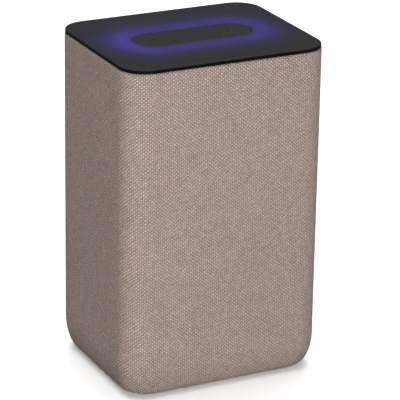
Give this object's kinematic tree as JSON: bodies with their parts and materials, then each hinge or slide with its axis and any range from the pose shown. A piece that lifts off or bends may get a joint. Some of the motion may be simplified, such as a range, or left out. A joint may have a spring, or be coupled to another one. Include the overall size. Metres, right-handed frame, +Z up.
{
  "type": "smart speaker",
  "caption": "Upright mains-powered smart speaker wrapped in grey-taupe woven cloth, with a dark glowing top panel, a pill-shaped touch pad, a two-way driver set and side passive radiators.",
  "frame": {"origin": "centre of the rectangular footprint, on the table under the rubber foot", "axes": "+Z up; the front with the drivers faces -Y; the power inlet faces +Y; +X is the speaker's left-to-right width seen from the front"},
  "size_m": [0.12, 0.097, 0.19],
  "materials": {
    "wrap_weave": "grey-taupe woven cover, matte",
    "shell_plastic": "dark moulded plastic, fine texture",
    "panel_smoke": "dark translucent plastic, satin top",
    "pad_soft": "soft-touch coated plastic",
    "diffuser_opal": "opal light diffuser",
    "reflector_white": "white reflector plastic",
    "board_green": "glass-epoxy circuit board with solder mask",
    "lamp_package": "surface-mount lamp package",
    "mic_can": "plated can",
    "foam_black": "closed-cell sealing foam",
    "box_plastic": "glass-filled moulded plastic",
    "frame_plastic": "moulded plastic",
    "foot_rubber": "moulded rubber, fine texture",
    "screw_zinc": "dark zinc plated",
    "basket_steel": "black powder-coated pressed steel",
    "roll_rubber": "butyl rubber",
    "cone_paper": "pressed dark paper pulp",
    "cap_paper": "coated paper",
    "coil_copper": "enamelled copper wire on a former",
    "spider_cloth": "resin-treated corrugated cloth",
    "motor_steel": "plated motor steel",
    "ferrite": "sintered ferrite",
    "neodymium": "nickel-plated magnet",
    "dome_silk": "coated silk dome",
    "plate_aluminium": "brushed aluminium",
    "weight_steel": "plated steel weight",
    "sink_black": "black anodised aluminium",
    "can_tin": "tinned shielding can",
    "inductor_ferrite": "moulded ferrite",
    "capacitor_sleeve": "aluminium can with a dark sleeve",
    "socket_nylon": "natural nylon",
    "jack_plastic": "black nylon",
    "pin_nickel": "nickel-plated brass",
    "lead_sleeve": "flexible insulation over copper strands",
    "ribbon_film": "flat flexible cable film"
  },
  "bodies": {
    "cabinet": {"fabric_cover": "wrap_weave", "grille_shell": "shell_plastic", "rubber_foot": "foot_rubber", "base_plate": "box_plastic", "base_screws": "screw_zinc", "chassis_screws": "screw_zinc", "top_panel": "panel_smoke", "touch_pad": "pad_soft", "touch_board": "board_green", "microphones": "mic_can", "mic_gaskets": "foam_black", "light_diffuser": "diffuser_opal", "reflector_tray": "reflector_white", "led_board": "board_green", "leds": "lamp_package", "top_frame": "frame_plastic", "top_frame_screws": "screw_zinc", "enclosure_body": "box_plastic", "front_baffle": "box_plastic", "baffle_gasket": "foam_black", "baffle_screws": "screw_zinc", "woofer_basket": "basket_steel", "woofer_gasket": "foam_black", "woofer_screws": "screw_zinc", "woofer_surround": "roll_rubber", "woofer_spider": "spider_cloth", "woofer_top_plate": "motor_steel", "woofer_magnet": "ferrite", "woofer_yoke": "motor_steel", "tweeter_faceplate": "frame_plastic", "tweeter_screws": "screw_zinc", "tweeter_surround": "dome_silk", "tweeter_yoke": "motor_steel", "tweeter_magnet": "neodymium", "radiator_screws": "screw_zinc", "main_board": "board_green", "board_screws": "screw_zinc", "processor_shield": "can_tin", "amplifier_heatsink": "sink_black", "inductors": "inductor_ferrite", "capacitors": "capacitor_sleeve", "board_connectors": "socket_nylon", "speaker_leads": "lead_sleeve", "ribbon_cable": "ribbon_film", "dc_jack": "jack_plastic", "dc_jack_pin": "pin_nickel", "inlet_bezel": "frame_plastic", "left_radiator_frame": "frame_plastic", "left_radiator_surround": "roll_rubber", "right_radiator_frame": "frame_plastic", "right_radiator_surround": "roll_rubber"},
    "woofer_cone_assembly": {"woofer_cone": "cone_paper", "woofer_dust_cap": "cap_paper", "woofer_voice_coil": "coil_copper"},
    "tweeter_dome_assembly": {"tweeter_dome": "dome_silk", "tweeter_voice_coil": "coil_copper"},
    "left_radiator_plate": {"left_radiator_diaphragm": "plate_aluminium", "left_radiator_weight": "weight_steel"},
    "right_radiator_plate": {"right_radiator_diaphragm": "plate_aluminium", "right_radiator_weight": "weight_steel"}
  },
  "joints": [
    {"name": "woofer_stroke", "type": "slide", "parent": "cabinet", "child": "woofer_cone_assembly", "axis": [0, -1, 0], "range_m": [-0.0035, 0.0035], "stiffness_N_per_m": 1500, "deforming": ["woofer_surround", "woofer_spider"]},
    {"name": "tweeter_stroke", "type": "slide", "parent": "cabinet", "child": "tweeter_dome_assembly", "axis": [0, -1, 0], "range_m": [-0.0003, 0.0003], "stiffness_N_per_m": 1500, "deforming": ["tweeter_surround"]},
    {"name": "left_radiator_stroke", "type": "slide", "parent": "cabinet", "child": "left_radiator_plate", "axis": [-1, 0, 0], "range_m": [-0.004, 0.004], "stiffness_N_per_m": 1500, "deforming": ["left_radiator_surround"]},
    {"name": "right_radiator_stroke", "type": "slide", "parent": "cabinet", "child": "right_radiator_plate", "axis": [1, 0, 0], "range_m": [-0.004, 0.004], "stiffness_N_per_m": 1500, "deforming": ["right_radiator_surround"]}
  ]
}
